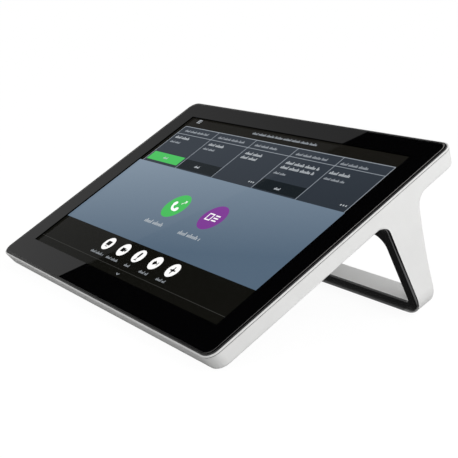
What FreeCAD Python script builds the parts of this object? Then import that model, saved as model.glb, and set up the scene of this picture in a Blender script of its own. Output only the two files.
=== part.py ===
import FreeCAD, Part
import math
import os

from FreeCAD import Vector

# Table-top touch panel: a white slab with a black cover glass, held up by a hoop moulded in one
# piece with its back shell. All sizes are in millimetres.
#
# Pieces are drawn in the panel's own frame: x to the right, y up the slope of the screen,
# z out of the glass, with z = 0 on the glass and x = y = 0 at its middle.
# stand_up() then tilts them on to the table, with the origin below the middle of the part.

# Stance on the table
tilt = 28.5
foot_proud = 0.5

# Cover glass and the white lip around it. The glass covers the display and a border round it.
border_side = 11.85
border_front = 10.2
border_rear = 7.6
glass_t = 0.9
glass_r = 6.0
glass_bevel = 0.3
glass_proud = 0.6
lip_gap = 0.12
lip_wall = 0.7
lip_chamfer = 0.15
parting_drop = 1.35
parting_gap = 0.35

# Back shell
housing_t = 10.1
front_rake = 11.5
rear_rake = 17.0
wall = 1.8
floor_t = 1.6
edge_r = 1.3
fit_gap = 0.15

# Hoop: front face, side profile and opening
hoop_front = 27.95
lean = 3.7
leg_w = 6.3
bar_t = 8.1
bar_fall = 7.5
beam_drop = 10.6
mouth_rise = 3.2
root_depth = 23.35
rear_angle = 20.2
foot_depth = 12.0
root_r_rear = 8.5
root_r_front = 4.2
foot_corner_r = 12.0
opening_r_top = 8.0
opening_r_low = 3.0
channel_wall = 1.6

# Black face plate on the front of the hoop
face_t = 1.5
face_drop = 0.4
peg_w = 2.2
peg_pitch = 48.0

# Display stack under the glass
tape_t = 0.1
touch_t = 0.3
cell_t = 0.9
guide_t = 1.2
pan_t = 0.3
lcd_w = 229.5
lcd_l = 149.0
lcd_gap = 0.5
guide_margin = 4.0
led_strip_w = 1.2
shelf_t = 1.45
skirt_t = 1.0

# Chassis plate behind the display
chassis_t = 0.8
chassis_gap = 0.4
boss_r = 2.6
boss_inset = 7.0
boss_pitch = 62.0
relief_w = 60.0
relief_l = 44.0

# Screws
screw_r = 0.95
screw_head_r = 1.9
screw_head_t = 0.8
screw_bite = 1.4
pilot_gap = 0.05
hole_gap = 0.25

# Electronics bay in the top of the hoop, and the recess for its sockets
bay_end = 27.4
bay_wall = 1.6
bay_floor_t = 1.4
recess_in = 1.0
recess_x0 = -22.0
recess_x1 = 34.0

# Main board and the parts on it
board_t = 1.0
board_lift = 1.3
board_w = 150.0
board_front = -12.0
board_rear_gap = 0.6
front_screw_inset = 5.0
front_screw_y = -5.0
rear_screw_inset = 16.0
cpu_size = 15.0
cpu_t = 1.0
cpu_y = 10.0
ram_w = 9.0
ram_l = 11.0
ram_t = 0.9
ram_pitch = 36.0
can_w = 26.0
can_l = 20.0
can_t = 1.2
can_wall = 0.2
can_inset = 27.0
coil_w = 14.0
coil_l = 11.0
coil_t = 8.0
coil_chamfer = 1.1
coil_inset = 27.0
cap_r = 3.2
cap_t = 8.0
cap_step = 12.0
cap_pitch = 8.0

# Network socket, sunk into a notch of the board
jack_x = -8.0
jack_w = 16.0
jack_l = 15.0
jack_rise = 0.6
jack_seat_gap = 0.2
jack_floor_t = 0.4
jack_tab = 1.4
jack_tab_t = 0.4
jack_wall_gap = 0.1
port_w = 11.8
port_h = 6.7
port_depth = 11.5
port_rim = 0.2
latch_w = 6.2
latch_h = 1.5
contacts = 8
contact_pitch = 1.02
contact_t = 0.35
contact_l = 7.0

# Ribbons and their connectors
ribbon_t = 0.2
ribbon_gap = 0.15
ribbon_w = 16.0
display_ribbon_x = -44.0
display_slot_y = -32.0
touch_ribbon_x = 30.0
connector_l = 4.0

# Restore key in the under face of the bay
key_inset = 27.0
key_r = 1.8
key_gap = 0.3
key_recess = 0.4
key_travel = 0.8
key_collar_r = 3.0
key_collar_t = 1.0
key_seat_gap = 0.1
switch_size = 6.0
switch_t = 3.5
plunger_r = 1.6
plunger_t = 0.8
plunger_gap = 0.1

# Speaker and its slots
speaker_end = 14.0
speaker_w = 22.0
speaker_l = 12.0
speaker_t = 5.0
slot_w = 1.2
slot_l = 8.0
slot_pitch = 3.0
slots = 5

# Security slot and its steel plate
lock_x = 22.0
lock_slot_w = 7.0
lock_slot_h = 3.0
lock_plate_w = 14.0
lock_plate_h = 7.8
lock_plate_t = 1.5

# Rubber feet
front_foot_x = 84.0
front_foot_w = 46.0
front_foot_l = 4.0
rear_foot_w = 196.0
rear_foot_gap = 0.3
rear_foot_l = 6.6

# How near a point of an edge must be to a plane to lie on it
tolerance = 0.01

# Places worked out from the sizes above
glass_w = lcd_w + 2 * border_side
glass_l = lcd_l + border_front + border_rear
lcd_shift = (border_front - border_rear) / 2
body_w = glass_w + 2 * (lip_gap + lip_wall)
body_l = glass_l + 2 * (lip_gap + lip_wall)
body_r = glass_r + lip_gap + lip_wall
half_w = body_w / 2
half_l = body_l / 2
z_glass_back = -glass_t
z_shelf = z_glass_back - tape_t
z_touch_back = z_glass_back - touch_t
z_cell_back = z_touch_back - cell_t
z_guide_back = z_cell_back - guide_t
z_pan_back = z_guide_back - pan_t
z_chassis_back = z_pan_back - chassis_t
z_under = -housing_t
z_floor = z_under + floor_t
z_rim = -parting_drop - parting_gap
z_board_back = z_floor + board_lift
z_board_top = z_board_back + board_t
boss_x = half_w - boss_inset
bay_w = body_w - 2 * bay_end
speaker_x = speaker_end - bay_w / 2
front_screw_x = board_w / 2 - front_screw_inset
rear_screw_x = board_w / 2 - rear_screw_inset
can_x = board_w / 2 - can_inset
coil_x = coil_inset - board_w / 2
cap_x = coil_x + cap_step
key_x = board_w / 2 - key_inset
rear_tuck = (z_rim - z_under) * math.tan(math.radians(rear_rake))
front_tuck = (z_rim - z_under) * math.tan(math.radians(front_rake))

tilt_sin = math.sin(math.radians(tilt))
tilt_cos = math.cos(math.radians(tilt))
lean_sin = math.sin(math.radians(lean))
lean_cos = math.cos(math.radians(lean))
rear_sin = math.sin(math.radians(rear_angle))
rear_cos = math.cos(math.radians(rear_angle))

# Centres of the roundings of the shell's front and rear under edges, where its walls tuck in.
front_round = front_tuck - half_l + edge_r * math.tan(math.radians(45 - front_rake / 2))
rear_round = half_l - rear_tuck - edge_r * math.tan(math.radians(45 - rear_rake / 2))

# The table lies foot_proud below the lowest line of the shell's front edge.
table_height = front_round * tilt_sin + (z_under + edge_r) * tilt_cos - edge_r - foot_proud

# Middle of the part on the table, between the front of the lip and the rounded rear under edge.
front_y = (glass_proud + lip_chamfer) * tilt_sin - half_l * tilt_cos
rear_y = rear_round * tilt_cos - (z_under + edge_r) * tilt_sin + edge_r
middle_y = (front_y + rear_y) / 2


def table_z(y):
    """Height of the table, in the panel frame, at a place up the slope."""
    return (table_height - y * tilt_sin) / tilt_cos


# The hoop reaches down until its lower front edge is foot_proud above the table.
hoop_reach = hoop_front * tilt_sin + z_under * tilt_cos - table_height - foot_proud
hoop_h = hoop_reach / (lean_sin * tilt_sin + lean_cos * tilt_cos)


def on_hoop(depth, up):
    """Point of the side profile, from its depth behind the hoop's front and its height."""
    y = hoop_front + depth * lean_cos + up * lean_sin
    z = z_under - depth * lean_sin + up * lean_cos
    return Vector(0, y, z)


# Where the back of a leg runs into the fillet at its root.
root_z = z_under - root_r_rear * (1 - rear_sin)
root_y = hoop_front + (root_z - z_under) * lean_sin / lean_cos + root_depth
z_beam = on_hoop(0, -beam_drop).z
z_bay = z_beam + bay_floor_t
bay_front = hoop_front + face_t + bay_wall
recess_y = root_y - recess_in
bay_rear = recess_y - wall
bay_mid = (bay_front + bay_rear) / 2
board_rear = bay_rear - board_rear_gap


def box(x0, x1, y0, y1, z0, z1):
    return Part.makeBox(x1 - x0, y1 - y0, z1 - z0, Vector(x0, y0, z0))


def block(x, y, w, l, z0, z1):
    """Box centred on x and y."""
    return box(x - w / 2, x + w / 2, y - l / 2, y + l / 2, z0, z1)


def post(x, y, r, z0, z1):
    return Part.makeCylinder(r, z1 - z0, Vector(x, y, z0))


def hex_post(x, y, r, z0, z1):
    """Six-sided post, for the key socket of a screw."""
    sixth = math.pi / 3
    points = [Vector(x + r * math.cos(k * sixth), y + r * math.sin(k * sixth), z0) for k in range(7)]
    return Part.Face(Part.makePolygon(points)).extrude(Vector(0, 0, z1 - z0))


def arc(a, b, c):
    return Part.Arc(a, b, c).toShape()


def line(a, b):
    return Part.LineSegment(a, b).toShape()


def outline(w, l, radii):
    """Closed wire round a rectangle in x and y, with its own radius at each corner.

    The corners go front left, front right, rear right, rear left. A radius of 0 is a sharp one.
    """
    corners = [(-1, -1), (1, -1), (1, 1), (-1, 1)]
    diagonal = math.sqrt(0.5)
    starts = []
    ends = []
    edges = []
    for k, (sx, sy) in enumerate(corners):
        r = radii[k]
        cx = sx * (w / 2 - r)
        cy = sy * (l / 2 - r)
        along_x = Vector(cx, sy * l / 2, 0)
        along_y = Vector(sx * w / 2, cy, 0)
        middle = Vector(cx + sx * r * diagonal, cy + sy * r * diagonal, 0)
        starts.append(along_y if k % 2 == 0 else along_x)
        ends.append(along_x if k % 2 == 0 else along_y)
        if r > 0:
            edges.append(arc(starts[k], middle, ends[k]))
    for k in range(4):
        edges.append(line(ends[k], starts[(k + 1) % 4]))
    return Part.Wire(Part.__sortEdges__(edges))


def plate(w, l, r, z0, z1, y=0.0):
    """Plate with rounded corners, centred on x = 0 and on y."""
    solid = Part.Face(outline(w, l, [r] * 4)).extrude(Vector(0, 0, z1 - z0))
    solid.translate(Vector(0, y, z0))
    return solid


def lean_back(shape):
    """Move a shape drawn with depth along y and height along z on to the hoop."""
    shape.rotate(Vector(0, 0, 0), Vector(1, 0, 0), -lean)
    shape.translate(Vector(0, hoop_front, z_under))
    return shape


def hoop_wire(w, low, high, radii, depth):
    """Outline drawn on the hoop between two heights, at a depth behind its front."""
    wire = outline(w, high - low, radii)
    wire.rotate(Vector(0, 0, 0), Vector(1, 0, 0), 90)
    wire.translate(Vector(0, depth, (high + low) / 2))
    return lean_back(wire)


def hoop_prism(w, low, high, radii, depth0, depth1):
    """Prism through the hoop, square to its front face, between two heights on it."""
    face = Part.Face(hoop_wire(w, low, high, radii, depth0))
    return face.extrude(on_hoop(depth1, 0) - on_hoop(depth0, 0))


def side_prism(edges, x0, x1):
    """Prism from a closed side profile, between two places along x."""
    face = Part.Face(Part.Wire(edges))
    solid = face.extrude(Vector(x1 - x0, 0, 0))
    solid.translate(Vector(x0, 0, 0))
    return solid


def along_lines(points):
    """Closed chain of straight edges through points of the side profile."""
    count = len(points)
    return [line(points[k], points[(k + 1) % count]) for k in range(count)]


def rear_sweep(inset):
    """Top, middle and foot of the bowed back of a leg, moved in by a wall thickness."""
    top = Vector(0, root_y - inset * rear_cos, root_z - inset * rear_sin)
    foot = on_hoop(foot_depth - inset, -hoop_h)
    chord = top - foot
    chord_angle = math.atan2(chord.y, chord.z)
    bow = chord.Length / 2 * math.tan((math.radians(rear_angle) - chord_angle) / 2)
    forward = Vector(0, -math.cos(chord_angle), math.sin(chord_angle))
    return top, (top + foot) / 2 + forward * bow, foot


def front_sweep(depth, drop):
    """Root, middle and end of the front fillet, moved back into the hoop and down it."""
    root = on_hoop(0, -root_r_front * (1 + lean_sin) / lean_cos)
    centre = Vector(0, root.y - root_r_front * lean_cos, z_under - root_r_front)
    turn = math.radians(45 - lean / 2)
    middle = centre + Vector(0, math.sin(turn), math.cos(turn)) * root_r_front
    end = Vector(0, centre.y, z_under)
    shift = on_hoop(depth, -drop) - on_hoop(0, 0)
    return root + shift, middle + shift, end + shift


def hoop_profile():
    """Leg section seen from the side, with its two root fillets, swept across the part."""
    buried = z_floor
    toe = on_hoop(0, -hoop_h)
    front_root, front_mid, front_end = front_sweep(0, 0)
    top, middle, foot = rear_sweep(0)
    rear_centre = Vector(0, root_y + root_r_rear * rear_cos, z_under - root_r_rear)
    rear_end = Vector(0, rear_centre.y, z_under)
    rear_turn = math.radians(45 + rear_angle / 2)
    rear_mid = rear_centre + Vector(0, -math.cos(rear_turn), math.sin(rear_turn)) * root_r_rear
    front_up = Vector(0, front_end.y, buried)
    rear_up = Vector(0, rear_end.y, buried)
    edges = [
        line(toe, front_root),
        arc(front_root, front_mid, front_end),
        line(front_end, front_up),
        line(front_up, rear_up),
        line(rear_up, rear_end),
        arc(rear_end, rear_mid, top),
        arc(top, middle, foot),
        line(foot, toe),
    ]
    return side_prism(edges, -half_w, half_w)


def face_room():
    """All the room in front of the seat of the black face plate."""
    root, middle, end = front_sweep(face_t, face_drop)
    low = on_hoop(face_t, -2 * hoop_h)
    ahead = end.y - housing_t
    edges = [
        line(low, root),
        arc(root, middle, end),
        line(end, Vector(0, ahead, end.z)),
        line(Vector(0, ahead, end.z), Vector(0, ahead, low.z)),
        line(Vector(0, ahead, low.z), low),
    ]
    return side_prism(edges, -body_w, body_w)


def inner_profile():
    """Room inside the legs and the bar, behind the face plate and inside the back wall."""
    top, middle, foot = rear_sweep(channel_wall)
    low = on_hoop(face_t, -hoop_h)
    high = Vector(0, on_hoop(face_t, 0).y, top.z)
    edges = [
        line(low, high),
        line(high, top),
        arc(top, middle, foot),
        line(foot, low),
    ]
    return side_prism(edges, -half_w, half_w)


def hole_wire(depth, grow, high):
    """Section of the hoop's hole at a depth, or of the hole grown by a wall at sides and bottom."""
    low = bar_t - hoop_h - grow - depth * math.tan(math.radians(bar_fall))
    radii = [opening_r_low + grow] * 2 + [opening_r_top] * 2
    return hoop_wire(body_w - 2 * leg_w + 2 * grow, low, high, radii, depth)


def hole_prism(depth0, high0, depth1, high1, grow):
    wires = [hole_wire(depth0, grow, high0), hole_wire(depth1, grow, high1)]
    return Part.makeLoft(wires, True, True)


def hoop_hole():
    """The hole, with its upper edge flared at the front down to the full height of the beam."""
    mouth = hole_prism(-mouth_rise, 2 * mouth_rise - beam_drop, mouth_rise, -beam_drop, 0)
    return mouth.fuse(hole_prism(mouth_rise, -beam_drop, 2 * root_depth, -beam_drop, 0))


def outer_edges(shape):
    """Outer edges that the mould rounds: the under edge of the slab and the edges of the hoop."""
    picked = []
    for edge in shape.Edges:
        middle = edge.valueAt((edge.FirstParameter + edge.LastParameter) / 2)
        ends = [v.Point for v in edge.Vertexes]
        low = min(p.z for p in ends)
        high = max(p.z for p in ends)
        on_side = all(abs(abs(p.x) - half_w) < tolerance for p in ends + [middle])
        under = abs(low - z_under) < tolerance and high - low < tolerance
        across = abs(ends[0].x - ends[-1].x) > 2 * half_w - 2 * body_r - tolerance
        near_root = hoop_front - 2 * root_r_front < middle.y < root_y + 2 * root_r_rear
        if under and not (across and near_root):
            picked.append(edge)
        elif on_side and high < z_under + tolerance:
            picked.append(edge)
    return picked


def make_outer_form():
    """The slab and the hoop as one solid block, before the hollows are cut."""
    section = [Vector(0, -half_l, z_rim), Vector(0, front_tuck - half_l, z_under),
               Vector(0, half_l - rear_tuck, z_under), Vector(0, half_l, z_rim)]
    slab = side_prism(along_lines(section), -half_w, half_w)
    corners = [e for e in slab.Edges if abs(e.Vertexes[0].Z - e.Vertexes[1].Z) > floor_t]
    slab = slab.makeFillet(body_r, corners)
    foot_round = [foot_corner_r, foot_corner_r, 0, 0]
    front_view = hoop_prism(body_w, -hoop_h, housing_t, foot_round, -housing_t, root_depth * 2)
    outer = slab.fuse(hoop_profile().common(front_view)).removeSplitter()
    return outer.makeFillet(edge_r, outer_edges(outer))


def make_body_shell():
    solid = outer_form.cut(hoop_hole()).cut(face_room())

    # Hollow channel in the legs and the bar, behind the face plate.
    channel_round = [foot_corner_r - channel_wall] * 2 + [0] * 2
    room_low = channel_wall - hoop_h
    room = hoop_prism(body_w - 2 * channel_wall, room_low, -root_r_rear, channel_round, 0, root_depth)
    core = hole_prism(-housing_t, housing_t, 2 * root_depth, housing_t, channel_wall)
    channel = inner_profile().common(room).cut(core)
    solid = solid.cut(channel)

    # Tray for the display, and the bay for the electronics below it.
    z_step = z_chassis_back - chassis_gap
    tray = plate(body_w - 2 * wall, body_l - 2 * wall, body_r - wall, z_step, 0)
    tray_l = body_l - 2 * wall - front_tuck - rear_tuck
    tray_y = (front_tuck - rear_tuck) / 2
    tray = tray.fuse(plate(body_w - 2 * wall, tray_l, body_r - wall, z_floor, z_step, tray_y))
    bay = box(-bay_w / 2, bay_w / 2, bay_front, bay_rear, z_bay, z_floor)
    recess = box(recess_x0, recess_x1, recess_y, half_l, z_under * 2 - beam_drop, z_under)
    solid = solid.cut(tray).cut(bay).cut(recess)

    # Bosses for the chassis and the board, each with its pilot hole.
    for x, y in chassis_places():
        solid = solid.fuse(post(x, y, boss_r, z_floor, z_chassis_back))
        solid = solid.cut(post(x, y, screw_r + pilot_gap, z_floor, z_chassis_back))
    for x, y, base in board_places():
        solid = solid.fuse(post(x, y, boss_r, base, z_board_back))
        pilot_low = z_board_back - screw_bite - pilot_gap
        solid = solid.cut(post(x, y, screw_r + pilot_gap, pilot_low, z_board_back))

    # Windows for the network plug and the lock, the key's hole, speaker slots, plate sockets.
    solid = solid.cut(socket_shape(bay_rear, recess_y, port_rim))
    z_lock = (z_bay + z_under) / 2
    solid = solid.cut(block(lock_x, recess_y, lock_slot_w, 4 * wall,
                            z_lock - lock_slot_h / 2, z_lock + lock_slot_h / 2))
    solid = solid.cut(post(key_x, bay_mid, key_r + key_gap, z_beam - 2 * wall, z_bay))
    for k in range(slots):
        x = speaker_x + (k - (slots - 1) / 2) * slot_pitch
        solid = solid.cut(block(x, bay_mid, slot_w, slot_l, z_beam - 2 * wall, z_bay))
    for peg in face_pegs(fit_gap):
        solid = solid.cut(peg)
    return solid


def chassis_places():
    return [(sx * boss_x, k * boss_pitch) for sx in (-1, 1) for k in (-1, 1)]


def board_places():
    low = [(sx * front_screw_x, front_screw_y, z_floor) for sx in (-1, 1)]
    tall = [(sx * rear_screw_x, bay_mid, z_bay) for sx in (-1, 1)]
    return low + tall


def face_pegs(grow):
    """Pegs on the back of the face plate, in a row along the beam above the opening."""
    height = (mouth_rise - beam_drop - root_r_front - face_drop) / 2
    size = peg_w + 2 * grow
    depth = bay_wall / 2 + grow
    pegs = []
    for k in (-1.5, -0.5, 0.5, 1.5):
        peg = block(k * peg_pitch, face_t + depth / 2, size, depth, height - size / 2, height + size / 2)
        pegs.append(lean_back(peg))
    return pegs


def make_hoop_face():
    return outer_form.common(face_room()).cut(hoop_hole()).fuse(face_pegs(0))


def make_cover_glass():
    solid = plate(glass_w, glass_l, glass_r, z_glass_back, 0)
    top = [e for e in solid.Edges if all(abs(v.Z) < tolerance for v in e.Vertexes)]
    return solid.makeChamfer(glass_bevel, top)


def make_front_frame():
    opening_w = lcd_w + 2 * lcd_gap
    opening_l = lcd_l + 2 * lcd_gap
    inner_w = body_w - 2 * (wall + fit_gap)
    inner_l = body_l - 2 * (wall + fit_gap)
    inner_r = body_r - wall - fit_gap
    lip = plate(body_w, body_l, body_r, -parting_drop, -glass_proud)
    top = [e for e in lip.Edges if all(abs(v.Z + glass_proud) < tolerance for v in e.Vertexes)]
    lip = lip.makeChamfer(lip_chamfer, top)
    shelf = plate(inner_w, inner_l, inner_r, z_shelf - shelf_t, z_shelf)
    skirt = plate(inner_w, inner_l, inner_r, z_pan_back, z_shelf)
    inside = plate(inner_w - 2 * skirt_t, inner_l - 2 * skirt_t, inner_r - skirt_t, z_pan_back, z_shelf)
    solid = lip.fuse(shelf).fuse(skirt.cut(inside))
    seat = plate(glass_w + 2 * lip_gap, glass_l + 2 * lip_gap, glass_r + lip_gap, z_shelf, glass_t)
    window = block(0, lcd_shift, opening_w, opening_l, -housing_t, 0)
    return solid.cut(seat).cut(window)


def make_glass_tape():
    edge = glass_bevel + lip_gap
    outer = plate(glass_w - 2 * edge, glass_l - 2 * edge, glass_r - edge, z_shelf, z_glass_back)
    inner = block(0, lcd_shift, lcd_w + 2 * lcd_gap, lcd_l + 2 * lcd_gap, z_shelf, z_glass_back)
    return outer.cut(inner)


def lcd_layer(z0, z1, margin):
    return block(0, lcd_shift, lcd_w - 2 * margin, lcd_l - 2 * margin, z0, z1)


def make_light_guide():
    solid = lcd_layer(z_guide_back, z_cell_back, guide_margin)
    front = lcd_shift - lcd_l / 2
    strip = box(-lcd_w, lcd_w, front, front + guide_margin + led_strip_w, z_guide_back, z_cell_back)
    return solid.cut(strip)


def make_backlight_strip():
    front = lcd_shift - lcd_l / 2 + guide_margin
    half = lcd_w / 2 - guide_margin
    return box(-half, half, front, front + led_strip_w, z_guide_back, z_cell_back)


def make_lcd_pan():
    solid = lcd_layer(z_pan_back, z_cell_back, 0)
    return solid.cut(lcd_layer(z_guide_back, z_cell_back, guide_margin))


def make_mid_chassis():
    gap = wall + chassis_gap
    solid = plate(body_w - 2 * gap, body_l - 2 * gap, body_r - gap, z_chassis_back, z_pan_back)
    for x, y in chassis_places():
        solid = solid.cut(post(x, y, screw_r + hole_gap, z_chassis_back, z_pan_back))
    for sx in (-1, 1):
        for sy in (-1, 1):
            x = sx * (lcd_w + relief_w) / 4
            y = sy * lcd_l / 4 + lcd_shift
            solid = solid.cut(block(x, y, relief_w, relief_l, z_chassis_back, z_pan_back))
    slot_gap = 4 * ribbon_gap
    solid = solid.cut(block(display_ribbon_x, display_slot_y, ribbon_w + slot_gap,
                            ribbon_t + slot_gap, z_chassis_back, z_pan_back))
    notch_front = lcd_shift + lcd_l / 2 - slot_gap
    notch_w = ribbon_w + 2 * slot_gap
    solid = solid.cut(box(touch_ribbon_x - notch_w / 2, touch_ribbon_x + notch_w / 2,
                          notch_front, half_l, z_chassis_back, z_pan_back))
    return solid


def screw(x, y, z_seat, length):
    head = post(x, y, screw_head_r, z_seat, z_seat + screw_head_t)
    drive = hex_post(x, y, screw_r, z_seat + screw_head_t / 2, z_seat + screw_head_t)
    return head.fuse(post(x, y, screw_r, z_seat - length, z_seat)).cut(drive)


def make_chassis_screws():
    length = chassis_t + screw_bite
    return Part.makeCompound([screw(x, y, z_pan_back, length) for x, y in chassis_places()])


def make_board_screws():
    length = board_t + screw_bite
    return Part.makeCompound([screw(x, y, z_board_top, length) for x, y, _ in board_places()])


def socket_shape(y0, y1, grow):
    """Room for a network plug: its body, and its latch on the under side."""
    z_latch = z_bay + jack_seat_gap + jack_floor_t
    z_port = z_latch + latch_h
    body = box(jack_x - port_w / 2 - grow, jack_x + port_w / 2 + grow, y0, y1,
               z_port - grow, z_port + port_h + grow)
    latch = box(jack_x - latch_w / 2 - grow, jack_x + latch_w / 2 + grow, y0, y1,
                z_latch - grow, z_port + grow)
    return body.fuse(latch)


def make_main_board():
    solid = box(-board_w / 2, board_w / 2, board_front, board_rear, z_board_back, z_board_top)
    for x, y, _ in board_places():
        solid = solid.cut(post(x, y, screw_r + hole_gap, z_board_back, z_board_top))
    notch_front = bay_rear - jack_wall_gap - jack_l - fit_gap
    half = jack_w / 2 + fit_gap
    notch = box(jack_x - half, jack_x + half, notch_front, bay_rear, z_board_back, z_board_top)
    return solid.cut(notch)


def make_ethernet_jack():
    rear = bay_rear - jack_wall_gap
    front = rear - jack_l
    low = z_bay + jack_seat_gap
    high = z_board_top + jack_rise
    solid = box(jack_x - jack_w / 2, jack_x + jack_w / 2, front, rear, low, high)
    tab_w = jack_w + 2 * jack_tab
    tabs = box(jack_x - tab_w / 2, jack_x + tab_w / 2, front + jack_tab, front + jack_l / 2,
               z_board_top, z_board_top + jack_tab_t)
    solid = solid.fuse(tabs).cut(socket_shape(rear - port_depth, rear, 0))
    z_contact = low + jack_floor_t + latch_h + port_h
    for k in range(contacts):
        x = jack_x + (k - (contacts - 1) / 2) * contact_pitch
        solid = solid.fuse(box(x - contact_t / 2, x + contact_t / 2, rear - port_depth,
                               rear - port_depth + contact_l, z_contact - contact_t, z_contact))
    return solid


def make_memory_chips():
    chips = []
    for side in (-1, 1):
        chips.append(block(side * ram_pitch / 2, cpu_y, ram_w, ram_l, z_board_top, z_board_top + ram_t))
    return Part.makeCompound(chips)


def make_shield_can():
    can = block(can_x, cpu_y, can_w, can_l, z_board_top, z_board_top + can_t)
    room = block(can_x, cpu_y, can_w - 2 * can_wall, can_l - 2 * can_wall,
                 z_board_top, z_board_top + can_t - can_wall)
    return can.cut(room)


def make_poe_transformer():
    solid = block(coil_x, bay_mid, coil_w, coil_l, z_board_back - coil_t, z_board_back)
    upright = [e for e in solid.Edges if abs(e.Vertexes[0].Z - e.Vertexes[1].Z) > coil_t / 2]
    return solid.makeChamfer(coil_chamfer, upright)


def make_filter_capacitors():
    cans = []
    for k in range(2):
        can = post(cap_x + k * cap_pitch, bay_mid, cap_r, z_board_back - cap_t, z_board_back)
        cans.append(can)
    return Part.makeCompound(cans)


def ribbon_low():
    return z_chassis_back - ribbon_gap - ribbon_t


def make_display_ribbon():
    x0 = display_ribbon_x - ribbon_w / 2
    x1 = display_ribbon_x + ribbon_w / 2
    flat = box(x0, x1, display_slot_y - ribbon_t / 2, board_front + connector_l,
               ribbon_low(), ribbon_low() + ribbon_t)
    rise = box(x0, x1, display_slot_y - ribbon_t / 2, display_slot_y + ribbon_t / 2,
               ribbon_low(), z_pan_back)
    return flat.fuse(rise)


def make_touch_ribbon():
    x0 = touch_ribbon_x - ribbon_w / 2
    x1 = touch_ribbon_x + ribbon_w / 2
    lcd_rear = lcd_shift + lcd_l / 2
    y0 = lcd_rear + ribbon_gap
    start = box(x0, x1, lcd_rear, y0 + ribbon_t, z_touch_back, z_touch_back + ribbon_t)
    drop = box(x0, x1, y0, y0 + ribbon_t, ribbon_low(), z_touch_back + ribbon_t)
    flat = box(x0, x1, board_rear - connector_l, y0 + ribbon_t, ribbon_low(), ribbon_low() + ribbon_t)
    return start.fuse(drop).fuse(flat)


def make_ribbon_connectors():
    front = block(display_ribbon_x, board_front + connector_l / 2, ribbon_w, connector_l,
                  z_board_top, ribbon_low())
    rear = block(touch_ribbon_x, board_rear - connector_l / 2, ribbon_w, connector_l,
                 z_board_top, ribbon_low())
    return Part.makeCompound([front, rear])


def make_restore_switch():
    z_case = z_board_back - switch_t
    case = block(key_x, bay_mid, switch_size, switch_size, z_case, z_board_back)
    return case.fuse(post(key_x, bay_mid, plunger_r, z_case - plunger_t, z_case))


def make_restore_button():
    low = z_beam + key_recess
    high = z_board_back - switch_t - plunger_t - key_travel - plunger_gap
    collar = z_bay + key_seat_gap
    shaft = post(key_x, bay_mid, key_r, low, high)
    solid = shaft.fuse(post(key_x, bay_mid, key_collar_r, collar, collar + key_collar_t))
    return solid


def make_speaker():
    solid = block(speaker_x, bay_mid, speaker_w, speaker_l, z_bay, z_bay + speaker_t)
    upright = [e for e in solid.Edges if abs(e.Vertexes[0].Z - e.Vertexes[1].Z) > speaker_t / 2]
    return solid.makeFillet(speaker_l / 4, upright)


def make_lock_plate():
    z_lock = (z_bay + z_under) / 2
    y = bay_rear - lock_plate_t / 2
    plate_low = z_lock - lock_plate_h / 2
    slot_low = z_lock - lock_slot_h / 2
    solid = block(lock_x, y, lock_plate_w, lock_plate_t, plate_low, plate_low + lock_plate_h)
    slot = block(lock_x, y, lock_slot_w, lock_plate_t, slot_low, slot_low + lock_slot_h)
    return solid.cut(slot)


def make_front_feet():
    y0 = front_round + fit_gap
    y1 = y0 + front_foot_l
    section = [Vector(0, y0, z_under), Vector(0, y0, table_z(y0)),
               Vector(0, y1, table_z(y1)), Vector(0, y1, z_under)]
    feet = []
    for side in (-1, 1):
        middle = side * front_foot_x
        half = front_foot_w / 2
        feet.append(side_prism(along_lines(section), middle - half, middle + half))
    return Part.makeCompound(feet)


def make_rear_foot():
    a = on_hoop(face_t + rear_foot_gap, -hoop_h)
    b = on_hoop(face_t + rear_foot_gap + rear_foot_l, -hoop_h)
    section = [a, Vector(0, a.y, table_z(a.y)), Vector(0, b.y, table_z(b.y)), b]
    return side_prism(along_lines(section), -rear_foot_w / 2, rear_foot_w / 2)


def stand_up(shape):
    """Tilt a piece out of the panel frame and set it on the table, centred over the origin."""
    placed = shape.copy()
    placed.rotate(Vector(0, 0, 0), Vector(1, 0, 0), tilt)
    placed.translate(Vector(0, -middle_y, -table_height))
    return placed


outer_form = make_outer_form()

pieces = {
    "body_shell": make_body_shell(),
    "hoop_face": make_hoop_face(),
    "front_feet": make_front_feet(),
    "rear_foot": make_rear_foot(),
    "front_frame": make_front_frame(),
    "cover_glass": make_cover_glass(),
    "glass_tape": make_glass_tape(),
    "touch_sensor": lcd_layer(z_touch_back, z_glass_back, 0),
    "lcd_cell": lcd_layer(z_cell_back, z_touch_back, 0),
    "light_guide": make_light_guide(),
    "backlight_strip": make_backlight_strip(),
    "lcd_pan": make_lcd_pan(),
    "mid_chassis": make_mid_chassis(),
    "chassis_screws": make_chassis_screws(),
    "main_board": make_main_board(),
    "board_screws": make_board_screws(),
    "processor": block(0, cpu_y, cpu_size, cpu_size, z_board_top, z_board_top + cpu_t),
    "thermal_pad": block(0, cpu_y, cpu_size, cpu_size, z_board_top + cpu_t, z_chassis_back),
    "memory_chips": make_memory_chips(),
    "shield_can": make_shield_can(),
    "poe_transformer": make_poe_transformer(),
    "filter_capacitors": make_filter_capacitors(),
    "ethernet_jack": make_ethernet_jack(),
    "display_ribbon": make_display_ribbon(),
    "touch_ribbon": make_touch_ribbon(),
    "ribbon_connectors": make_ribbon_connectors(),
    "restore_switch": make_restore_switch(),
    "restore_button": make_restore_button(),
    "speaker": make_speaker(),
    "lock_plate": make_lock_plate(),
}

os.makedirs("parts", exist_ok=True)
for name, piece in pieces.items():
    stand_up(piece).exportStep("parts/" + name + ".step")
    print(name, "solids", len(piece.Solids), "volume", round(piece.Volume, 1), "valid", piece.isValid())
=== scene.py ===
import math

import bmesh
import bpy
from mathutils import Matrix, Vector


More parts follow.
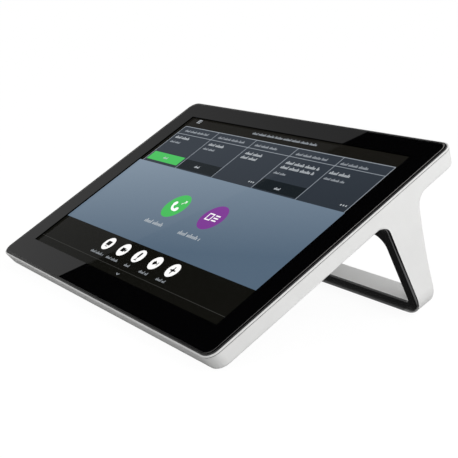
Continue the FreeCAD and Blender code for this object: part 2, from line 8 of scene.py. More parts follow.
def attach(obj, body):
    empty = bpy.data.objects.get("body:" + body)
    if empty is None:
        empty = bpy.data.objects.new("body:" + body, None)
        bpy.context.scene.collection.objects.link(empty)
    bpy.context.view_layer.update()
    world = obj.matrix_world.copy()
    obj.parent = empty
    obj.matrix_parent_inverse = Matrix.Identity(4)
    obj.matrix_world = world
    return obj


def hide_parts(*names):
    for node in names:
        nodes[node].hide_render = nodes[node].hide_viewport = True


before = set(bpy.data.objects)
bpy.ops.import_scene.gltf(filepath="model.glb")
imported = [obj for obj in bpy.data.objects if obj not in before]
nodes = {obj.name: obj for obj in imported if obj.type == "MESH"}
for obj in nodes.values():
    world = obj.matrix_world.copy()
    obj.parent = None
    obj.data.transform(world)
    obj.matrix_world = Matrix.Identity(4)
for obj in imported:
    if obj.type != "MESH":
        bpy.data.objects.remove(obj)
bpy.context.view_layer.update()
mm = 0.001


# Back shell: the tray behind the glass and the hoop stand, one injection moulding in white ABS.
# Its steel mould was spark eroded to a fine satin, so light spreads softly along the walls.
# The grain is drawn coarser than the real one, so that it shows.
cloud_detail = 3.0
grain_detail = 1.0
bump_strength = 0.5


def linear(code):
    """sRGB hex to the linear colour that a shader takes."""
    shares = [int(code[start:start + 2], 16) / 255 for start in (1, 3, 5)]
    return [s / 12.92 if s <= 0.04045 else ((s + 0.055) / 1.055) ** 2.4 for s in shares] + [1.0]


def add_node(tree, kind, inputs, **settings):
    """Adds one node. An input is a plain value or another node's output."""
    made = tree.nodes.new(kind)
    for name, value in settings.items():
        setattr(made, name, value)
    for name, value in inputs.items():
        if isinstance(value, bpy.types.NodeSocket):
            tree.links.new(value, made.inputs[name])
        else:
            made.inputs[name].default_value = value
    return made


def new_finish(name):
    finish = bpy.data.materials.new(name)
    finish.use_nodes = True
    finish.node_tree.nodes.clear()
    return finish, finish.node_tree


def moulded(name, low, high, rough, grain_mm, relief_mm, cloud_mm=18.0, metal=0.0,
            stretch=(1, 1, 1), shine=0.5):
    """A solid material with a faint cloud in its colour and a fine grain in its surface."""
    finish, tree = new_finish(name)
    place = add_node(tree, "ShaderNodeTexCoord", {}).outputs["Object"]
    drawn = add_node(tree, "ShaderNodeMapping", {"Vector": place, "Scale": stretch}).outputs["Vector"]
    cloud = add_node(tree, "ShaderNodeTexNoise", {
        "Vector": drawn, "Scale": 1 / (cloud_mm * mm), "Detail": cloud_detail}).outputs["Fac"]
    grain = add_node(tree, "ShaderNodeTexNoise", {
        "Vector": drawn, "Scale": 1 / (grain_mm * mm), "Detail": grain_detail}).outputs["Fac"]
    tint = add_node(tree, "ShaderNodeMix", {0: cloud, 6: linear(low), 7: linear(high)}, data_type="RGBA")
    gloss = add_node(tree, "ShaderNodeMapRange", {"Value": grain, "To Min": rough[0], "To Max": rough[1]})
    bump = add_node(tree, "ShaderNodeBump", {
        "Height": grain, "Strength": bump_strength, "Distance": relief_mm * mm})
    surface = add_node(tree, "ShaderNodeBsdfPrincipled", {
        "Base Color": tint.outputs[2], "Roughness": gloss.outputs["Result"], "Metallic": metal,
        "Specular IOR Level": shine, "Normal": bump.outputs["Normal"]})
    add_node(tree, "ShaderNodeOutputMaterial", {"Surface": surface.outputs["BSDF"]})
    return finish


def wear(finish, *names):
    for name in names:
        for held in nodes[name].material_slots:
            held.material = finish


white_abs = moulded("white_abs", "#E3E3E2", "#EBEBEA", rough=(0.40, 0.48), grain_mm=0.6, relief_mm=0.012)
wear(white_abs, "body_shell")


# Feet: two pads under the front edge and a strip under the hoop, black silicone rubber.
# Each is die cut and glued on, and its matt face takes light without any gloss.
rubber = moulded("silicone_rubber", "#1A1A1A", "#242424", rough=(0.80, 0.90), grain_mm=0.5, relief_mm=0.02)
wear(rubber, "front_feet", "rear_foot")


# Hoop face: a black ABS plate pressed on to the front of the hoop with square pegs.
# A finer satin than the shell's, dark enough that only its rounded rim catches light.
black_abs = moulded("black_abs", "#060607", "#0A0A0B", rough=(0.20, 0.26), grain_mm=0.6, relief_mm=0.004)
wear(black_abs, "hoop_face")


# Board: green solder mask over glass cloth, whose weave shows as a fine grain.
# It carries the packages below and is screwed to bosses in the shell.
solder_mask = moulded("solder_mask", "#0B3A1E", "#124A28", rough=(0.28, 0.36), grain_mm=0.8, relief_mm=0.02)
wear(solder_mask, "main_board")


# Packages, socket, lamp strip, speaker and connectors: black epoxy and nylon, matt from the mould.
# They are soldered to the board, except the speaker and the lamp strip.
black_epoxy = moulded("black_epoxy", "#151517", "#1F1F21", rough=(0.50, 0.62), grain_mm=0.4, relief_mm=0.02)
wear(black_epoxy, "processor", "memory_chips", "poe_transformer", "ethernet_jack", "ribbon_connectors",
     "restore_switch", "backlight_strip", "speaker")


# Sheet steel: the shield can, the pan behind the display and the plate behind the lock slot.
# Tin plated and stamped, with the long grain of the rolling in it.
tinned_steel = moulded("tinned_steel", "#A9AAAC", "#BDBEBF", rough=(0.26, 0.38), grain_mm=0.5,
                       relief_mm=0.004, metal=1.0, stretch=(1.0, 0.08, 1.0))
wear(tinned_steel, "shield_can", "lcd_pan", "lock_plate")


# Capacitor cans: drawn aluminium, a little brighter and smoother than the steel.
# They stand on the board beside the transformer.
drawn_aluminium = moulded("drawn_aluminium", "#B9BABC", "#CBCCCD", rough=(0.22, 0.32), grain_mm=0.4,
                          relief_mm=0.003, metal=1.0)
wear(drawn_aluminium, "filter_capacitors")


# Restore key: a grey nylon pin in a bore of the shell, pushed from below with a pen.
# It slides and is the only piece of its body.
grey_nylon = moulded("grey_nylon", "#7C7D7F", "#898A8C", rough=(0.46, 0.56), grain_mm=0.4, relief_mm=0.015)
wear(grey_nylon, "restore_button")


# Chassis: a die-cast aluminium plate that carries the display, blasted to an even grey.
# Four screws hold it to the shell.
blasted_aluminium = moulded("blasted_aluminium", "#9A9C9E", "#AEB0B2", rough=(0.52, 0.66), grain_mm=0.7,
                            relief_mm=0.03, metal=1.0)
wear(blasted_aluminium, "mid_chassis")


# Screws: zinc-plated steel, with the slight blue of the passivation in the clouds.
# The same kind holds the chassis and the board.
zinc_plate = moulded("zinc_plate", "#A6ABB2", "#BCBFC2", rough=(0.28, 0.40), grain_mm=0.3,
                     relief_mm=0.004, cloud_mm=1.5, metal=1.0)
wear(zinc_plate, "chassis_screws", "board_screws")


# Thermal pad: soft grey silicone filled with ceramic powder, pressed between processor and chassis.
# The powder shows as a fine speckle.
filled_silicone = moulded("filled_silicone", "#6F777F", "#858C94", rough=(0.75, 0.88), grain_mm=0.25,
                          relief_mm=0.02, cloud_mm=0.8)
wear(filled_silicone, "thermal_pad")


# Ribbons: copper traces laminated in amber polyimide film, folded to the board.
# The traces run the length of the ribbon and show as darker lines.
polyimide = moulded("polyimide", "#8A4E12", "#B06A1E", rough=(0.24, 0.34), grain_mm=0.5,
                    relief_mm=0.006, cloud_mm=0.9, stretch=(1.0, 0.05, 1.0))
wear(polyimide, "display_ribbon", "touch_ribbon")


# Light guide: a clear acrylic plate behind the cell, with printed dots that send the light forward.
# It is shut in by the pan, so it reads as a pale, glossy plate.
dotted_acrylic = moulded("dotted_acrylic", "#D4DCE0", "#E4EAEC", rough=(0.08, 0.22), grain_mm=1.2,
                         relief_mm=0.004, cloud_mm=1.2)
wear(dotted_acrylic, "light_guide")


# Display cell: two sheets of glass with black polarisers, dark wherever the picture is dark.
# It lies on the light guide under the touch film, and its coating leaves only a faint mirror.
polariser = moulded("polariser", "#040405", "#060607", rough=(0.02, 0.04), grain_mm=0.5, relief_mm=0.0,
                    shine=0.05)
wear(polariser, "lcd_cell")


# Front lip: the thin white frame that holds the glass, moulded like the shell and snapped on to it.
# The groove below it is the parting line.
wear(white_abs, "front_frame")


# Parting groove: a thin black strip sunk in the groove between lip and shell, seen as a fine dark line.
# It is painted shade: the groove itself is only in shadow, and the black strip stands in for that shade.
groove_w = 254.84
groove_l = 168.44
groove_r = 6.82
groove_low = -1.69
groove_high = -1.37
shade_strip_sink = 0.25
shade_strip_depth = 1.0
corner_steps = 10
tilt = math.radians(28.5)
glass_middle = Vector((0.0, -1.3773, 48.3976)) * mm
to_world = Matrix.Translation(glass_middle) @ Matrix.Rotation(tilt, 4, "X") @ Matrix.Scale(mm, 4)


def sheet(mesh, middle, width, length, turn=0.0):
    """Adds a flat rectangle, turned in degrees."""
    bmesh.ops.create_grid(mesh, x_segments=1, y_segments=1, size=0.5, matrix=Matrix.Translation(middle)
                          @ Matrix.Rotation(math.radians(turn), 4, "Z")
                          @ Matrix.Diagonal((width, length, 1.0, 1.0)))


def show(mesh, name, finish):
    """Makes a piece of the panel from a mesh drawn in millimetres from the middle of the glass."""
    bmesh.ops.recalc_face_normals(mesh, faces=mesh.faces)
    bmesh.ops.transform(mesh, matrix=to_world, verts=mesh.verts)
    made = bpy.data.meshes.new(name)
    mesh.to_mesh(made)
    mesh.free()
    made.materials.append(finish)
    piece = bpy.data.objects.new(name, made)
    bpy.context.collection.objects.link(piece)
    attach(piece, "panel")
    return piece


groove_shade_strip = bmesh.new()
sheet(groove_shade_strip, (0, 0, groove_low), groove_w - 2 * shade_strip_sink, groove_l - 2 * shade_strip_sink)
bmesh.ops.bevel(groove_shade_strip, geom=groove_shade_strip.verts, offset=groove_r - shade_strip_sink, segments=corner_steps,
                profile=0.5, affect="VERTICES", material=-1)
bmesh.ops.inset_region(groove_shade_strip, faces=groove_shade_strip.faces, thickness=shade_strip_depth, use_boundary=True,
                       use_even_offset=True)
middle_face = max(groove_shade_strip.faces, key=lambda face: len(face.verts))
bmesh.ops.delete(groove_shade_strip, geom=[middle_face], context="FACES_ONLY")
raised = bmesh.ops.extrude_face_region(groove_shade_strip, geom=groove_shade_strip.faces[:])
bmesh.ops.translate(groove_shade_strip, verts=[v for v in raised["geom"] if isinstance(v, bmesh.types.BMVert)],
                    vec=(0, 0, groove_high - groove_low))
# One black finish serves the painted shade strip in the groove and the real foam tape below.
black_foam_and_groove_shade = moulded("black_foam_and_groove_shade", "#060607", "#0A0A0B", rough=(0.70, 0.84), grain_mm=0.4, relief_mm=0.02,
                     shine=0.1)
show(groove_shade_strip, "groove_painted_shade", black_foam_and_groove_shade)


# Tape: black foam tape between the lip and the glass, die cut as a frame.
# It also closes the glass border to light from behind.
wear(black_foam_and_groove_shade, "glass_tape")


# Screen picture: what the lit display shows, in thin layers where the touch film lies.
# Plain tiles, bars and rows of blocks for words, each layer glowing by itself behind the glass.
picture_u = 1.15
picture_v = 1.45
film_w = 229.5
film_l = 149.0
film_low = -1.2
film_t = 0.09
layer_t = 0.03
ground, tile_layer, mark_layer, top_layer = range(4)
round_sides = 64
glow_low = -42.0
glow_high = 60.0
glow_slant = 0.25
glow_strength = 1.12
pixel_scale = 1.2
pixel_share = 0.06
face_black = "#030303"
face_rough = 0.02
face_shine = 0.05
block_pitch = 0.46
block_w = 0.26
block_low = 0.62
tall_every = 4
tall_at = 1
gap_every = 9
gap_at = 6


def layer_place(u, v, layer, turn):
    """Where a form of the picture lies: u right and v up from the picture's middle, turned in degrees."""
    z = film_low + film_t + layer * layer_t + layer_t / 2
    return (Matrix.Translation((u + picture_u, v + picture_v, z))
            @ Matrix.Rotation(math.radians(turn), 4, "Z"))


def bar(mesh, u, v, width, height, layer, turn=0.0):
    bmesh.ops.create_cube(mesh, size=1.0, matrix=layer_place(u, v, layer, turn)
                          @ Matrix.Diagonal((width, height, layer_t, 1.0)))


def band(mesh, left, right, low, high, layer):
    bar(mesh, (left + right) / 2, (low + high) / 2, right - left, high - low, layer)


def disc(mesh, u, v, radius, layer, sides=round_sides, turn=0.0):
    bmesh.ops.create_cone(mesh, cap_ends=True, segments=sides, radius1=radius, radius2=radius,
                          depth=layer_t, matrix=layer_place(u, v, layer, turn))


def words(mesh, left, right, v, height, layer):
    """A line of stand-in text: small blocks in groups, some of them taller. They are no letters."""
    pitch = block_pitch * height
    for count in range(int((right - left) / pitch)):
        if count % gap_every == gap_at:
            continue
        tall = height if count % tall_every == tall_at else block_low * height
        bar(mesh, left + count * pitch, v + (tall - height) / 2, block_w * height, tall, layer)


def on_glass(tree):
    """Object coordinates in millimetres from the middle of the glass, in its own slope."""
    place = add_node(tree, "ShaderNodeTexCoord", {}).outputs["Object"]
    return add_node(tree, "ShaderNodeMapping", {
        "Vector": place, "Location": glass_middle, "Rotation": (tilt, 0, 0), "Scale": (mm, mm, mm)},
        vector_type="TEXTURE").outputs["Vector"]


def light_up(mesh, name, low, high):
    """Shows a lit patch of the display: its colour runs from low to high up and to the left."""
    finish, tree = new_finish(name)
    flat = on_glass(tree)
    split = add_node(tree, "ShaderNodeSeparateXYZ", {"Vector": flat})
    pixels = add_node(tree, "ShaderNodeTexNoise", {
        "Vector": flat, "Scale": pixel_scale, "Detail": grain_detail})
    slant = add_node(tree, "ShaderNodeMath", {0: split.outputs["X"], 1: -glow_slant, 2: split.outputs["Y"]},
                     operation="MULTIPLY_ADD")
    climb = add_node(tree, "ShaderNodeMapRange", {
        "Value": slant.outputs["Value"], "From Min": glow_low, "From Max": glow_high})
    mixed = add_node(tree, "ShaderNodeMath", {
        0: pixels.outputs["Fac"], 1: pixel_share, 2: climb.outputs["Result"]}, operation="MULTIPLY_ADD")
    tint = add_node(tree, "ShaderNodeMix", {0: mixed.outputs["Value"], 6: linear(low), 7: linear(high)},
                    data_type="RGBA")
    surface = add_node(tree, "ShaderNodeBsdfPrincipled", {
        "Base Color": linear(face_black), "Roughness": face_rough, "Specular IOR Level": face_shine,
        "Emission Color": tint.outputs[2], "Emission Strength": glow_strength})
    add_node(tree, "ShaderNodeOutputMaterial", {"Surface": surface.outputs["BSDF"]})
    show(mesh, name, finish)


film = bmesh.new()
bmesh.ops.create_cube(film, size=1.0, matrix=Matrix.Translation((0, 0, film_low + film_t / 2))
                      @ Matrix.Diagonal((film_w, film_l, film_t, 1.0)))
bmesh.ops.bevel(film, geom=film.edges, offset=film_t / 4, segments=1, profile=0.5, affect="EDGES",
                material=-1)
touch_film = show(film, "touch_film", polariser)
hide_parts("touch_sensor")

lit_left = -112.0
lit_right = 107.2
picture_low = -67.6
field_low = -41.5
field_high = 20.4
bar_high = 68.8
field = bmesh.new()
band(field, lit_left, lit_right, field_low, field_high, ground)
light_up(field, "screen_field", "#4E6072", "#7E8D9C")

dark_bars = bmesh.new()
for low, high in ((picture_low, field_low), (field_high, bar_high)):
    band(dark_bars, lit_left, lit_right, low, high, ground)
light_up(dark_bars, "screen_bars", "#0F0F0C", "#171613")

tile_high = 58.6
tile_edges = (-106.4, -63.8, -20.8, 22.2, 64.6, 106.4)
tiles = bmesh.new()
for left, right in zip(tile_edges, tile_edges[1:]):
    band(tiles, left, right, field_high, tile_high, tile_layer)
light_up(tiles, "screen_tiles", "#252B32", "#333941")

strip_high = 30.0
strip_left = 0.9
strip_right = 0.6
strip_low = 0.9
strips = bmesh.new()
for tile in (1, 3):
    band(strips, tile_edges[tile] + strip_left, tile_edges[tile + 1] - strip_right,
         field_high + strip_low, strip_high, mark_layer)
light_up(strips, "screen_strips", "#171C20", "#1A2024")

call_left = 1.6
call_right = 2.2
call_low = 2.2
call_rise = 0.6
call_strip = bmesh.new()
band(call_strip, tile_edges[0] + call_left, tile_edges[1] - call_right,
     field_high + call_low, strip_high + call_rise, mark_layer)
light_up(call_strip, "screen_call_strip", "#40AF54", "#47B65A")

header_v = 50.9
line_t = 0.45
header_t = 0.36
row_w = tile_edges[-1] - tile_edges[0]
lines = bmesh.new()
for edge in tile_edges:
    bar(lines, edge, (field_high + tile_high) / 2, line_t, tile_high - field_high, mark_layer)
bar(lines, 0, tile_high, row_w, line_t, mark_layer)
bar(lines, 0, header_v, row_w, header_t, mark_layer)
light_up(lines, "screen_lines", "#7F8790", "#99A0A8")

foot_line_v = -61.7
foot_line_t = 0.315
foot_line = bmesh.new()
bar(foot_line, (lit_left + lit_right) / 2, foot_line_v, lit_right - lit_left, foot_line_t, tile_layer)
light_up(foot_line, "screen_foot_line", "#343432", "#3A3A36")


# Words of the picture: each line has its left end, right end and height on the picture.
# Names, buttons and captions are bright. Heads, notes and key labels are fainter.
menu_u = -98.0
menu_v = 65.2
menu_pitch = 1.3
menu_w = 4.2
menu_t = 0.55
name_h = 2.5
name_lines = ((-102.3, -84.6, 47.4), (-59.4, -41.2, 46.9), (-16.2, 2.6, 46.4), (-16.2, 0.0, 42.5),
              (26.4, 57.5, 45.8), (26.4, 57.5, 41.6), (67.2, 86.3, 45.4))
note_h = 1.9
button_lines = ((-46.6, -40.8, 25.6), (40.8, 46.6, 24.6), (-87.6, -82.0, 26.6))
dot_back = 7.4
dot_pitch = 2.1
dot_v = 24.8
dot_w = 0.9
dot_h = 1.1
caption_h = 3.0
caption_lines = ((-31.7, -8.9, -24.0), (8.2, 32.3, -24.4))
bright_words = bmesh.new()
for rung in (-1, 0, 1):
    bar(bright_words, menu_u, menu_v + rung * menu_pitch, menu_w, menu_t, tile_layer)
for left, right, v in name_lines:
    words(bright_words, left, right, v, name_h, top_layer)
for left, right, v in button_lines:
    words(bright_words, left, right, v, note_h, top_layer)
for tile_right in (tile_edges[3], tile_edges[5]):
    for count in range(3):
        bar(bright_words, tile_right - dot_back + count * dot_pitch, dot_v, dot_w, dot_h, mark_layer)
for left, right, v in caption_lines:
    words(bright_words, left, right, v, caption_h, tile_layer)
light_up(bright_words, "screen_words", "#ABB1B6", "#B9BEC3")

head_h = 2.1
title_line = (-31.7, 34.4, 64.0)
head_lines = ((-100.3, -71.1, 54.6), (-58.6, -28.6, 54.4), (-16.8, 8.0, 54.4), (26.0, 55.0, 54.0),
              (67.4, 92.4, 53.6))
note_lines = ((-102.3, -89.5, 42.4), (-60.0, -46.5, 42.3), (25.8, 37.2, 36.2), (67.6, 85.6, 40.4))
key_us = (-37.8, -18.6, 0.0, 19.1, 38.2)
label_ws = (16.0, 14.6, 6.2, 9.5, 9.2)
label_v = -57.6
label_h = 2.0
fold_v = -65.0
fold_reach = 0.7
fold_l = 2.0
fold_t = 0.6
fold_turn = 35.0
faint_words = bmesh.new()
words(faint_words, *title_line, head_h, tile_layer)
for left, right, v in head_lines:
    words(faint_words, left, right, v, head_h, mark_layer)
for left, right, v in note_lines:
    words(faint_words, left, right, v, note_h, mark_layer)
for u, width in zip(key_us, label_ws):
    words(faint_words, u - width / 2, u + width / 2, label_v, label_h, tile_layer)
for side in (-1, 1):
    bar(faint_words, side * fold_reach, fold_v, fold_l, fold_t, tile_layer, side * fold_turn)
light_up(faint_words, "screen_notes", "#8E9398", "#9BA1A8")


# Round keys of the picture: two coloured ones in the field and five white ones in the lower bar.
# Each carries a plain sign: a handset with an arrow, a frame beside lines, a screen, a camera,
# a microphone, a horn and a cross.
call_u = -20.2
share_u = 20.8
round_v = -7.8
round_r = 10.1
call_key = bmesh.new()
disc(call_key, call_u, round_v, round_r, tile_layer)
light_up(call_key, "screen_call_key", "#3FB053", "#4CB85E")

share_key = bmesh.new()
disc(share_key, share_u, round_v, round_r, tile_layer)
light_up(share_key, "screen_share_key", "#763A8A", "#803F94")

key_v = -49.2
key_r = 5.05
white_keys = bmesh.new()
for u in key_us:
    disc(white_keys, u, key_v, key_r, tile_layer)

handset_u = call_u + 1.8
handset_v = round_v + 2.6
handset_r = 5.8
handset_from = 190.0
handset_sweep = 95.0
handset_steps = 16
grip_w = 1.7
grip_l = 1.3
cap_reach = 5.1
cap_r = 1.8
small_sides = 24
for step in range(handset_steps + 1):
    turn = handset_from + step * handset_sweep / handset_steps
    around = math.radians(turn)
    bar(white_keys, handset_u + handset_r * math.cos(around), handset_v + handset_r * math.sin(around),
        grip_w, grip_l, mark_layer, turn)
for turn in (handset_from, handset_from + handset_sweep):
    around = math.radians(turn)
    disc(white_keys, handset_u + cap_reach * math.cos(around), handset_v + cap_reach * math.sin(around),
         cap_r, mark_layer, small_sides)

shaft_place = 4.0
shaft_l = 4.4
shaft_turn = 45.0
head_far = 5.4
head_near = 4.6
head_l = 2.0
stroke = 0.5
bar(white_keys, call_u + shaft_place, round_v + shaft_place, shaft_l, stroke, mark_layer, shaft_turn)
bar(white_keys, call_u + head_near, round_v + head_far, head_l, stroke, mark_layer)
bar(white_keys, call_u + head_far, round_v + head_near, stroke, head_l, mark_layer)

sign_gap = 3.2
frame_w = 5.2
frame_h = 5.6
frame_t = 0.8
list_w = 4.4
list_t = 0.9
list_pitch = 2.0
frame_u = share_u - sign_gap
for side in (-1, 1):
    bar(white_keys, frame_u + side * (frame_w - frame_t) / 2, round_v, frame_t, frame_h, mark_layer)
    bar(white_keys, frame_u, round_v + side * (frame_h - frame_t) / 2, frame_w, frame_t, mark_layer)
for rung in (-1, 0, 1):
    bar(white_keys, share_u + sign_gap, round_v + rung * list_pitch, list_w, list_t, mark_layer)
light_up(white_keys, "screen_white_keys", "#F4F4F3", "#F8F8F7")

# Bars of the signs on the white keys: place from the key's middle, width and height.
sign_bars = (
    ((0.0, 0.4, 4.6, 3.4), (0.0, -2.2, 2.6, 0.6)),
    ((-0.7, 0.0, 3.8, 3.0),),
    ((0.0, 0.9, 1.9, 2.6), (0.0, -2.3, 0.7, 1.9), (0.0, -3.1, 2.6, 0.6)),
    ((-1.6, 0.0, 1.4, 2.0), (2.4, 0.0, 0.6, 2.6)),
    ((0.0, 0.0, 5.2, 0.9), (0.0, 0.0, 0.9, 5.2)),
)
camera_reach = 2.2
camera_r = 1.5
microphone_r = 0.95
microphone_ends = (2.2, -0.4)
microphone_sides = 20
horn_reach = -0.3
horn_r = 2.2
hub_r = 1.2
triangle = 3
signs = bmesh.new()
for key_u, bars in zip(key_us, sign_bars):
    for u, v, width, height in bars:
        bar(signs, key_u + u, key_v + v, width, height, mark_layer)
disc(signs, key_us[1] + camera_reach, key_v, camera_r, mark_layer, triangle, 90.0)
for end in microphone_ends:
    disc(signs, key_us[2], key_v + end, microphone_r, mark_layer, microphone_sides)
disc(signs, key_us[3] + horn_reach, key_v, horn_r, mark_layer, triangle, 270.0)
disc(signs, key_us[4], key_v, hub_r, top_layer, small_sides)
light_up(signs, "screen_signs", "#161616", "#1C1C1C")


# Cover glass: toughened glass, printed black behind its border and open over the lit window.
# The border mirrors the room. Its ground arris is a rougher ring, wide in front and a fine line at the sides,
# and its grey is a painted highlight: dull in front, and painted brighter at the sides and towards the back.
# The window is coated against glare, so it is left clear and only the display shows a faint mirror.
border_black = "#030304"
glass_ior = 1.5
smear_scale = 0.03
smear_detail = 2.0
smear_rough = 0.012
painted_arris_front = "#181717"
painted_arris_highlight = "#8A8784"
arris_insets = (0.75, 1.7)
arris_halves = (0.65, 0.2)
arris_roughs = (0.26, 0.5)
painted_highlight_floor = 0.2
painted_fade_low = -80.0
painted_fade_high = 20.0
glass_w = 253.2
glass_l = 166.8
glass_r = 6.0
window_w = 220.0
window_l = 135.7
glass_finish, tree = new_finish("cover_glass")
flat = on_glass(tree)
split = add_node(tree, "ShaderNodeSeparateXYZ", {"Vector": flat})
inside = []
for axis, middle, width in (("X", picture_u, window_w), ("Y", picture_v, window_l)):
    inside.append(add_node(tree, "ShaderNodeMath", {0: split.outputs[axis], 1: middle, 2: width / 2},
                           operation="COMPARE").outputs["Value"])
window = add_node(tree, "ShaderNodeMath", {0: inside[0], 1: inside[1]}, operation="MULTIPLY")
shut = add_node(tree, "ShaderNodeMath", {0: 1.0, 1: window.outputs["Value"]}, operation="SUBTRACT")
spread = flat
for operation, value in (("MULTIPLY", (1.0, 1.0, 0.0)),
                         ("ABSOLUTE", (0.0, 0.0, 0.0)),
                         ("SUBTRACT", (glass_w / 2 - glass_r, glass_l / 2 - glass_r, 0.0)),
                         ("MAXIMUM", (0.0, 0.0, 0.0))):
    spread = add_node(tree, "ShaderNodeVectorMath", {0: spread, 1: value},
                      operation=operation).outputs["Vector"]
reach = add_node(tree, "ShaderNodeVectorMath", {0: spread}, operation="LENGTH").outputs["Value"]
aside = add_node(tree, "ShaderNodeSeparateXYZ", {"Vector": spread}).outputs["X"]
facing = add_node(tree, "ShaderNodeMath", {0: aside, 1: reach}, operation="DIVIDE").outputs["Value"]
inset, half, rough = [
    add_node(tree, "ShaderNodeMapRange", {"Value": facing, "To Min": front, "To Max": side}).outputs["Result"]
    for front, side in (arris_insets, arris_halves, arris_roughs)]
ring = add_node(tree, "ShaderNodeMath", {0: glass_r, 1: inset}, operation="SUBTRACT").outputs["Value"]
arris = add_node(tree, "ShaderNodeMath", {0: reach, 1: ring, 2: half}, operation="COMPARE").outputs["Value"]
# The arris grey is a painted highlight: lighter where the ring faces the sides and towards the back, dark in
# front.
painted_highlight_fade = add_node(tree, "ShaderNodeMapRange", {
    "Value": split.outputs["Y"], "From Min": painted_fade_low, "From Max": painted_fade_high, "To Min": painted_highlight_floor})
painted_highlight_share = add_node(tree, "ShaderNodeMath", {0: facing, 1: painted_highlight_fade.outputs["Result"]}, operation="MULTIPLY")
painted_arris_colour = add_node(tree, "ShaderNodeMix", {
    0: painted_highlight_share.outputs["Value"], 6: linear(painted_arris_front), 7: linear(painted_arris_highlight)}, data_type="RGBA").outputs[2]
border = add_node(tree, "ShaderNodeMix", {0: arris, 6: linear(border_black), 7: painted_arris_colour},
                  data_type="RGBA")
wipe = add_node(tree, "ShaderNodeTexNoise", {"Vector": flat, "Scale": smear_scale, "Detail": smear_detail})
smear = add_node(tree, "ShaderNodeMapRange", {
    "Value": wipe.outputs["Fac"], "To Min": 0.0, "To Max": smear_rough})
gloss = add_node(tree, "ShaderNodeMath", {0: arris, 1: rough, 2: smear.outputs["Result"]},
                 operation="MULTIPLY_ADD")
toughened = add_node(tree, "ShaderNodeBsdfPrincipled", {
    "Base Color": border.outputs[2], "Roughness": gloss.outputs["Value"], "IOR": glass_ior,
    "Alpha": shut.outputs["Value"]})
add_node(tree, "ShaderNodeOutputMaterial", {"Surface": toughened.outputs["BSDF"]})
wear(glass_finish, "cover_glass")


# Table: a plain white sweep that keeps a soft shadow of the object.
# To the camera it glows a little, so that it joins the white room. From below it is clear.
table_w = 40.0
table_drop = 0.05
table_grey = "#C8C8C8"
table_share = 0.86
table_glow = 1.10
white = linear("#FFFFFF")
sweep = bmesh.new()
bmesh.ops.create_grid(sweep, x_segments=8, y_segments=8, size=table_w / 2,
                      matrix=Matrix.Translation((0, 0, -table_drop * mm)))
sweep_mesh = bpy.data.meshes.new("table_sweep")
sweep.to_mesh(sweep_mesh)
sweep.free()
table = bpy.data.objects.new("table_sweep", sweep_mesh)
bpy.context.collection.objects.link(table)
table_finish, tree = new_finish("table_paper")
rays = add_node(tree, "ShaderNodeLightPath", {})
share = add_node(tree, "ShaderNodeMath", {0: rays.outputs["Is Camera Ray"], 1: table_share},
                 operation="MULTIPLY")
paper = add_node(tree, "ShaderNodeBsdfDiffuse", {"Color": linear(table_grey)})
glow = add_node(tree, "ShaderNodeEmission", {"Color": white, "Strength": table_glow})
laid = add_node(tree, "ShaderNodeMixShader", {
    0: share.outputs["Value"], 1: paper.outputs["BSDF"], 2: glow.outputs["Emission"]})
under = add_node(tree, "ShaderNodeNewGeometry", {}).outputs["Backfacing"]
clear = add_node(tree, "ShaderNodeBsdfTransparent", {})
laid = add_node(tree, "ShaderNodeMixShader", {0: under, 1: laid.outputs["Shader"], 2: clear.outputs["BSDF"]})
add_node(tree, "ShaderNodeOutputMaterial", {"Surface": laid.outputs["Shader"]})
sweep_mesh.materials.append(table_finish)


# Grey and black boards over the panel, out of view: the only things the glass border mirrors.
# The edge between them draws the slanting border of light across the glass.
boards_z = 662.0
boards_middle = (-1400.0, 525.0, boards_z)
boards_w = 1800.0
boards_l = 1550.0
edge_low = Vector((-1487.0, 241.0, boards_z))
edge_high = Vector((-1123.0, 811.0, boards_z))
grey_near = 0.32
grey_far = 0.19
black_level = 0.004
fade_near = -0.1
fade_far = 0.4


def lit(name, near, far):
    """White light whose strength runs from near to far along the room."""
    finish, tree = new_finish(name)
    place = add_node(tree, "ShaderNodeTexCoord", {}).outputs["Object"]
    split = add_node(tree, "ShaderNodeSeparateXYZ", {"Vector": place})
    fade = add_node(tree, "ShaderNodeMapRange", {
        "Value": split.outputs["Y"], "From Min": fade_near, "From Max": fade_far,
        "To Min": near, "To Max": far})
    glow = add_node(tree, "ShaderNodeEmission", {"Color": white, "Strength": fade.outputs["Result"]})
    add_node(tree, "ShaderNodeOutputMaterial", {"Surface": glow.outputs["Emission"]})
    return finish


def set_up(mesh, name, finishes):
    """A board that only mirrors show: it gives no light and no shadow, and the camera looks past it."""
    made = bpy.data.meshes.new(name)
    mesh.to_mesh(made)
    mesh.free()
    for finish in finishes:
        made.materials.append(finish)
    board = bpy.data.objects.new(name, made)
    bpy.context.collection.objects.link(board)
    board.visible_camera = False
    board.visible_diffuse = False
    board.visible_shadow = False


boards = bmesh.new()
sheet(boards, boards_middle, boards_w, boards_l)
along = edge_high - edge_low
across = Vector((along.y, -along.x, 0.0))
bmesh.ops.bisect_plane(boards, geom=boards.verts[:] + boards.edges[:] + boards.faces[:],
                       plane_co=edge_low, plane_no=across)
for face in boards.faces:
    face.material_index = 0 if (face.calc_center_median() - edge_low).dot(across) < 0 else 1
bmesh.ops.transform(boards, matrix=to_world, verts=boards.verts)
set_up(boards, "mirror_boards", [lit("grey_board", grey_near, grey_far),
                                 lit("black_board", black_level, black_level)])


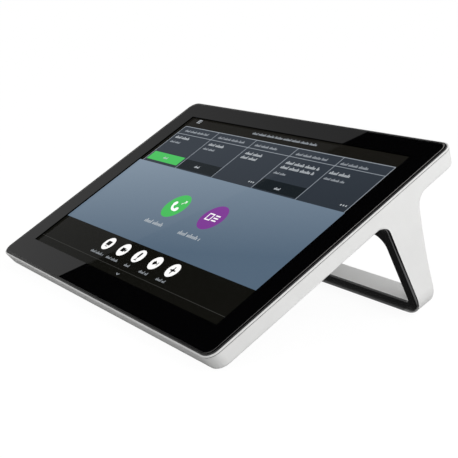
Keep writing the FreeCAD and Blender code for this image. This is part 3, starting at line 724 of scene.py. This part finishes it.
# Cards on the table, out of view: what the black face plate and the glass edge mirror, laid as in a studio.
# A dark one keeps the plate's flat black, and lighter ones at its toe, corner and side draw its rounded rim.
# A dark strip, laid along what the wall of the glass mirrors, keeps that wall black.
# Each has its middle, its width and length, its turn and its strength.
card_z = 0.3
cards = (
    ("dark_card", (-86.5, -12.25), (427.0, 125.5), 0.0, 0.06),
    ("toe_card", (-9.0, 55.25), (242.0, 9.5), 0.0, 0.6),
    ("corner_card", (119.5, 53.25), (15.0, 5.5), 0.0, 1.4),
    ("side_card", (145.5, 19.25), (33.0, 62.5), 0.0, 2.4),
    ("edge_card", (250.0, 108.0), (60.0, 460.0), -31.9, black_level),
)
for name, (x, y), (width, length), turn, strength in cards:
    card = bmesh.new()
    sheet(card, Vector((x, y, card_z)) * mm, width * mm, length * mm, turn)
    finish, tree = new_finish(name)
    glow = add_node(tree, "ShaderNodeEmission", {"Color": white, "Strength": strength})
    add_node(tree, "ShaderNodeOutputMaterial", {"Surface": glow.outputs["Emission"]})
    set_up(card, name, [finish])


# Light: a white room all round and one soft lamp high on the right.
# The room is seen and mirrored as plain white and lights the object a little less.
room_light = 0.68
lamp_power = 1.95
lamp_size = 0.5
lamp_place = Vector((0.62, 0.20, 0.36))
world = bpy.data.worlds.new("white_room")
bpy.context.scene.world = world
world.use_nodes = True
tree = world.node_tree
tree.nodes.clear()
rays = add_node(tree, "ShaderNodeLightPath", {})
seen = add_node(tree, "ShaderNodeMath", {0: rays.outputs["Is Camera Ray"], 1: rays.outputs["Is Glossy Ray"]},
                operation="MAXIMUM")
level = add_node(tree, "ShaderNodeMapRange", {
    "Value": seen.outputs["Value"], "To Min": room_light, "To Max": 1.0})
room = add_node(tree, "ShaderNodeBackground", {"Color": white, "Strength": level.outputs["Result"]})
add_node(tree, "ShaderNodeOutputWorld", {"Surface": room.outputs["Background"]})
lamp = bpy.data.objects.new("soft_lamp", bpy.data.lights.new("soft_lamp", "AREA"))
lamp.data.energy = lamp_power
lamp.data.size = lamp_size
lamp.location = lamp_place
lamp.rotation_euler = (-lamp_place).to_track_quat("-Z", "Y").to_euler()
bpy.context.collection.objects.link(lamp)


# Camera: from the right front, a little above the table, with a long lens held slightly off level.
# Place, lens and roll were fitted to the edges of the glass, the slab and the hoop.
camera_place = Vector((532.50, -310.67, 179.95)) * mm
camera_aim = Vector((35.64, -4.73, 40.24)) * mm
camera_roll = math.radians(-2.484)
lens_mm = 86.855
sensor_mm = 36.0
camera = bpy.data.objects.new("camera", bpy.data.cameras.new("camera"))
camera.data.lens = lens_mm
camera.data.sensor_width = sensor_mm
camera.location = camera_place
aimed = (camera_aim - camera_place).to_track_quat("-Z", "Y").to_matrix().to_4x4()
camera.rotation_euler = (aimed @ Matrix.Rotation(camera_roll, 4, "Z")).to_euler()
bpy.context.collection.objects.link(camera)
bpy.context.scene.camera = camera
bpy.context.scene.view_settings.view_transform = "Standard"
